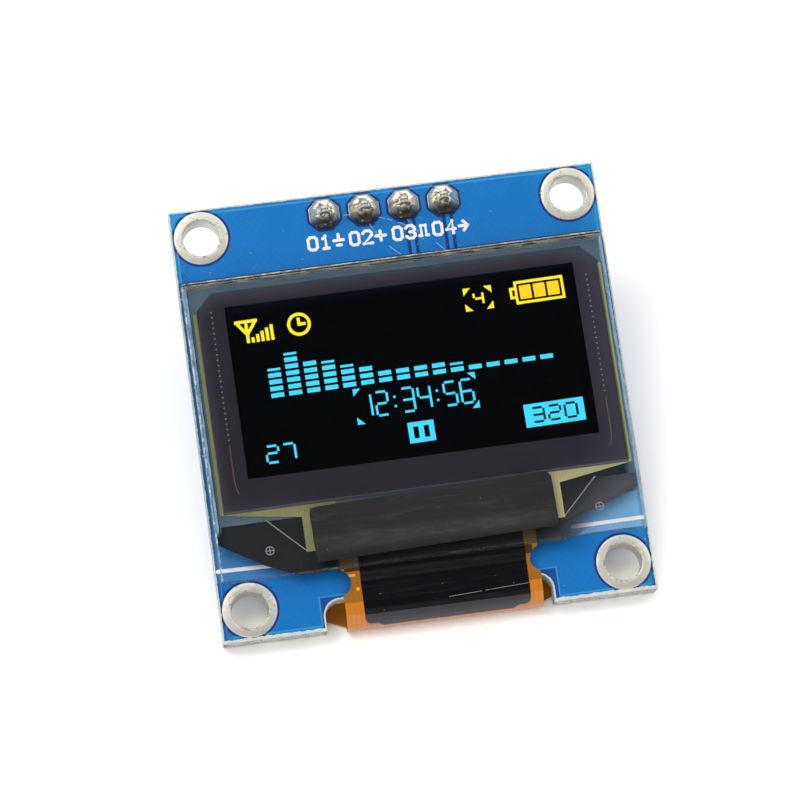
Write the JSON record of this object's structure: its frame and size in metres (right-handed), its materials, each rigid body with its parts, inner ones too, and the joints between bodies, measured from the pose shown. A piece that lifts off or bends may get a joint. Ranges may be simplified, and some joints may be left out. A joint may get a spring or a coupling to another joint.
{
  "type": "small oled display module",
  "caption": "Blue circuit board that carries a flat glass display, its folded amber flex tail, plated corner holes and a row of header pins on the back.",
  "frame": {"origin": "centre of the four mounting holes, on the board's back face", "axes": "+Z out of the display's face, +Y towards the pin header's edge, +X to the right seen from the front"},
  "size_m": [0.0274, 0.0279, 0.0119],
  "materials": {
    "board": "blue solder mask over glass-fibre laminate, pale at the cut edges",
    "plating": "bright tin plating",
    "solder": "shiny hand-soldered tin",
    "pin_metal": "thin gold flash",
    "strip_plastic": "black moulded plastic",
    "foam_tape": "white double-sided foam tape",
    "back_glass": "clear flat glass",
    "getter": "matt white sheet",
    "seal": "grey cured resin",
    "dark_layer": "deep black",
    "yellow_light": "lit yellow",
    "blue_light": "lit cyan blue",
    "front_glass": "clear flat glass",
    "polariser": "smoky grey film",
    "trace_metal": "thin olive metal film",
    "black_film": "black film",
    "black_tape": "matt black tape",
    "silicon": "dark polished silicon",
    "flex_amber": "amber polyimide over copper",
    "flex_black": "glossy black cover coat",
    "moulded_black": "black moulded epoxy",
    "lead_metal": "tin-plated lead",
    "capacitor_ceramic": "tan ceramic",
    "end_metal": "tin-plated end cap",
    "resistor_ceramic": "black coat over white ceramic"
  },
  "bodies": {
    "root": {"circuit_board": "board", "hole_plating_1": "plating", "hole_plating_2": "plating", "hole_plating_3": "plating", "hole_plating_4": "plating", "pin_pad_1": "plating", "pin_pad_2": "plating", "pin_pad_3": "plating", "pin_pad_4": "plating", "solder_joint_1": "solder", "solder_joint_2": "solder", "solder_joint_3": "solder", "solder_joint_4": "solder", "flex_solder": "solder", "component_solder": "solder", "header_pin_1": "pin_metal", "header_pin_2": "pin_metal", "header_pin_3": "pin_metal", "header_pin_4": "pin_metal", "header_strip": "strip_plastic", "mounting_tape": "foam_tape", "cap_glass": "back_glass", "getter_sheet": "getter", "seal_frame": "seal", "pixel_layer": "dark_layer", "yellow_pixels": "yellow_light", "blue_pixels": "blue_light", "front_glass": "front_glass", "polariser": "polariser", "electrode_traces": "trace_metal", "ledge_film": "black_film", "shield_tape": "black_tape", "driver_chip": "silicon", "flex_tail": "flex_amber", "flex_cover": "flex_black", "regulator_body": "moulded_black", "diode_body": "moulded_black", "regulator_leads": "lead_metal", "diode_leads": "lead_metal", "capacitor_1": "capacitor_ceramic", "capacitor_2": "capacitor_ceramic", "capacitor_3": "capacitor_ceramic", "capacitor_4": "capacitor_ceramic", "capacitor_5": "capacitor_ceramic", "capacitor_ends_1": "end_metal", "capacitor_ends_2": "end_metal", "capacitor_ends_3": "end_metal", "capacitor_ends_4": "end_metal", "capacitor_ends_5": "end_metal", "resistor_ends_1": "end_metal", "resistor_ends_2": "end_metal", "resistor_ends_3": "end_metal", "resistor_ends_4": "end_metal", "resistor_1": "resistor_ceramic", "resistor_2": "resistor_ceramic", "resistor_3": "resistor_ceramic", "resistor_4": "resistor_ceramic"}
  },
  "joints": []
}
